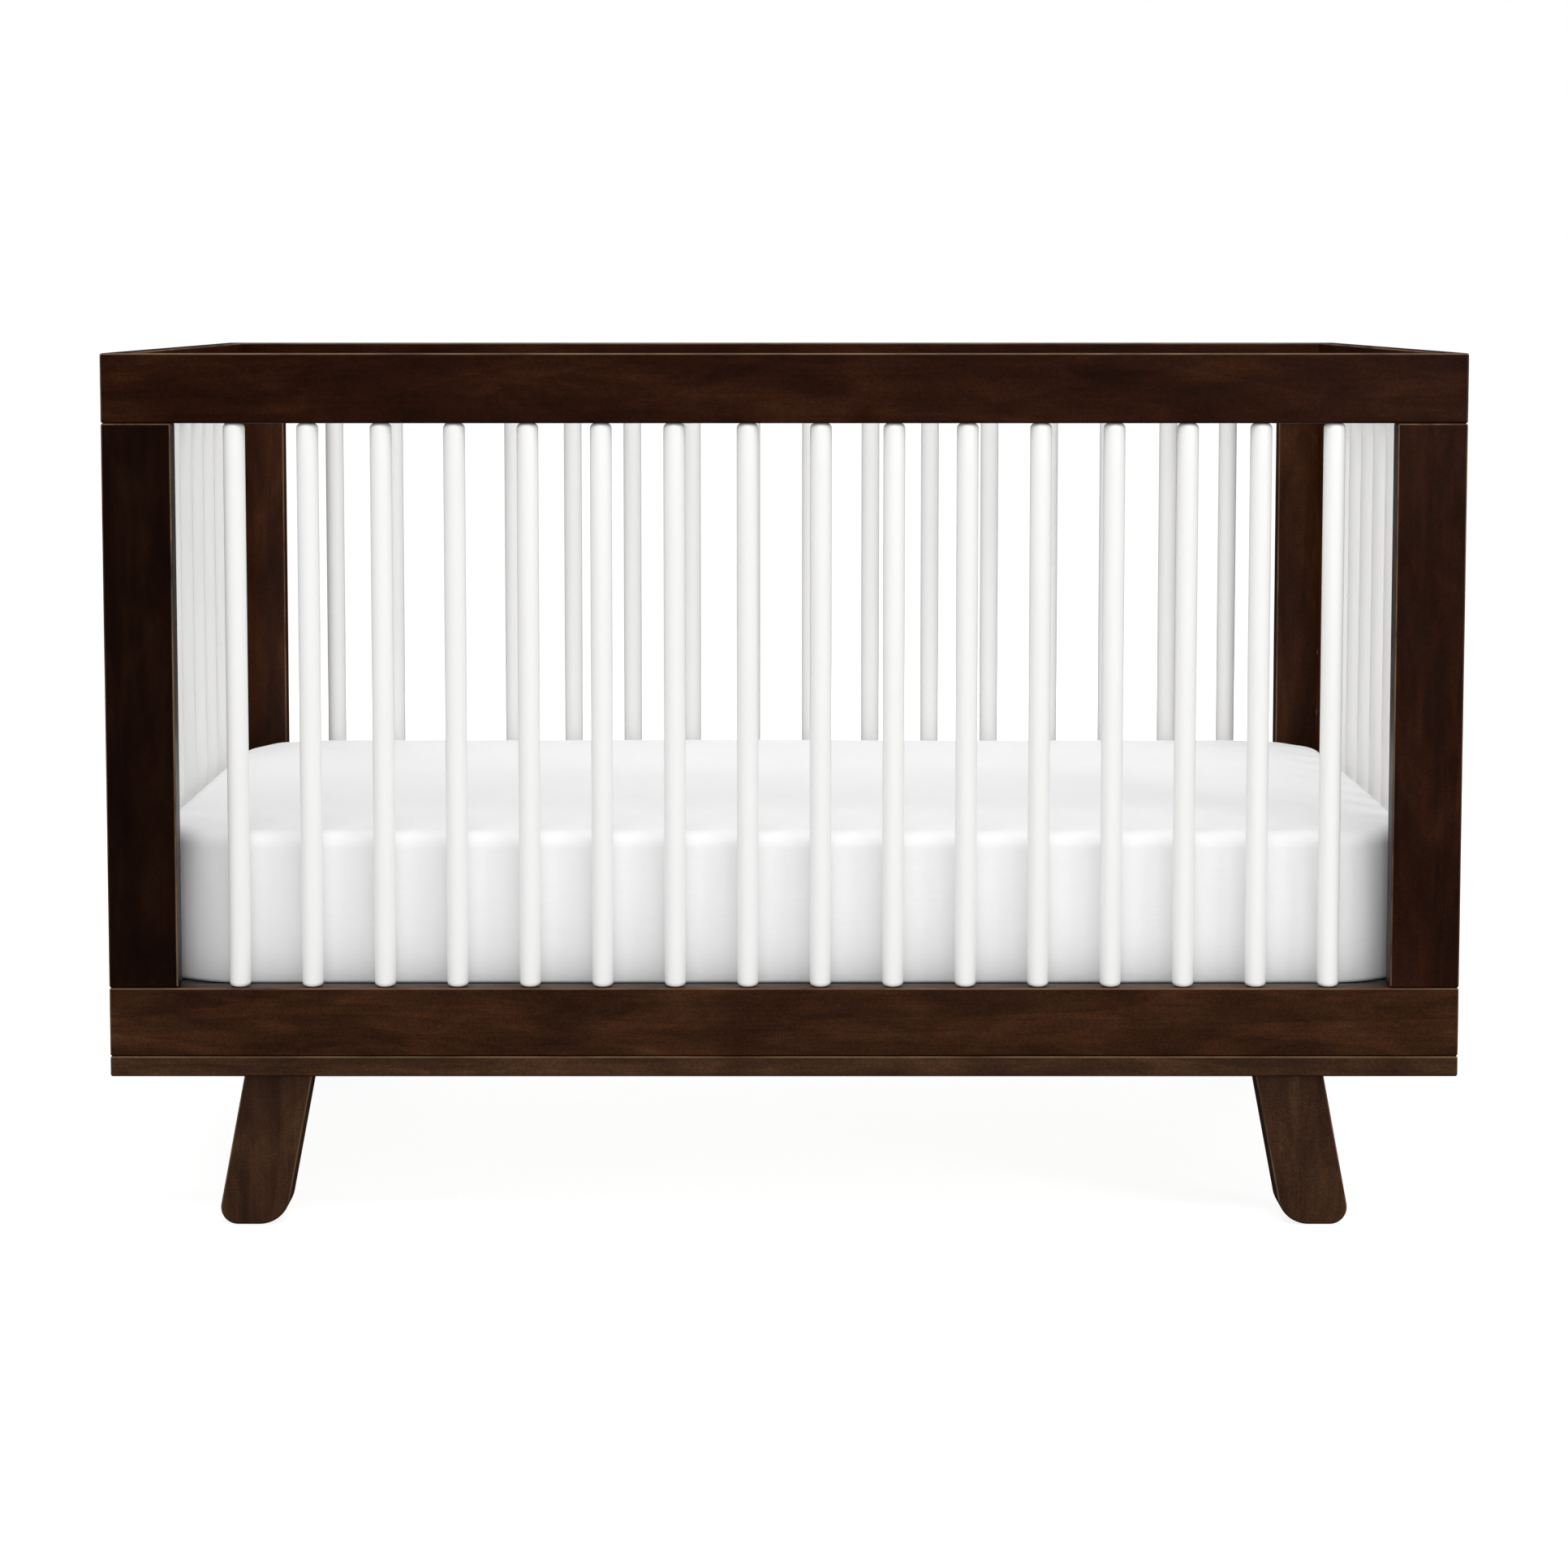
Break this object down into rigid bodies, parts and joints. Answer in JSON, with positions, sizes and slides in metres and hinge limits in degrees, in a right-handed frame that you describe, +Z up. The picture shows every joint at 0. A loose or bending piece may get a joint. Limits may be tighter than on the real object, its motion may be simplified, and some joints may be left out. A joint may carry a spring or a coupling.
{
  "type": "baby crib",
  "caption": "Slatted baby crib: flat dark board frame, round white spindles, four splayed board legs, and a mattress on a sprung support that hangs at a choice of heights.",
  "frame": {"origin": "on the floor, at the middle of the crib's length and width", "axes": "+X along the length, to the right seen from the front; +Y from front to back; +Z up"},
  "size_m": [1.365, 0.757, 0.89],
  "materials": {
    "espresso_wood": "satin espresso stain",
    "white_wood": "satin white lacquer",
    "beech": "bare fluted beech",
    "black_steel": "black powder coat",
    "spring_steel": "bare drawn wire",
    "zinc_steel": "bright zinc plate",
    "glide_plastic": "moulded",
    "mattress_ticking": "woven ticking",
    "white_sheet": "plain percale cotton"
  },
  "bodies": {
    "crib_frame": {"back_base_rail": "espresso_wood", "back_bottom_rail": "espresso_wood", "back_left_leg": "espresso_wood", "back_left_stile": "espresso_wood", "back_right_leg": "espresso_wood", "back_right_stile": "espresso_wood", "back_slats": "white_wood", "back_top_rail": "espresso_wood", "base_bolts": "zinc_steel", "base_dowels": "beech", "base_inserts": "zinc_steel", "corner_dowels": "beech", "foot_glides": "glide_plastic", "front_base_rail": "espresso_wood", "front_bottom_rail": "espresso_wood", "front_left_leg": "espresso_wood", "front_left_stile": "espresso_wood", "front_right_leg": "espresso_wood", "front_right_stile": "espresso_wood", "front_slats": "white_wood", "front_top_rail": "espresso_wood", "hanging_bolts": "zinc_steel", "left_back_stile": "espresso_wood", "left_base_rail": "espresso_wood", "left_bottom_rail": "espresso_wood", "left_end_slats": "white_wood", "left_front_stile": "espresso_wood", "left_top_rail": "espresso_wood", "leg_bolts": "zinc_steel", "leg_inserts": "zinc_steel", "leg_washers": "zinc_steel", "level_inserts": "zinc_steel", "panel_bolts": "zinc_steel", "panel_inserts": "zinc_steel", "right_back_stile": "espresso_wood", "right_base_rail": "espresso_wood", "right_bottom_rail": "espresso_wood", "right_end_slats": "white_wood", "right_front_stile": "espresso_wood", "right_top_rail": "espresso_wood", "stile_dowels": "beech"},
    "mattress_support": {"back_left_hanger": "black_steel", "back_right_hanger": "black_steel", "front_left_hanger": "black_steel", "front_right_hanger": "black_steel", "hanger_rivets": "zinc_steel", "spring_grid": "spring_steel", "support_back_bar": "black_steel", "support_front_bar": "black_steel", "support_left_bar": "black_steel", "support_right_bar": "black_steel", "support_springs": "spring_steel"},
    "mattress": {"mattress_core": "mattress_ticking", "fitted_sheet": "white_sheet"}
  },
  "joints": [
    {"name": "support_height", "type": "slide", "parent": "crib_frame", "child": "mattress_support", "axis": [0, 0, 1], "range_m": [0, 0.225]},
    {"name": "mattress_lift", "type": "slide", "parent": "mattress_support", "child": "mattress", "axis": [0, 0, 1], "range_m": [0, 0.65]}
  ]
}
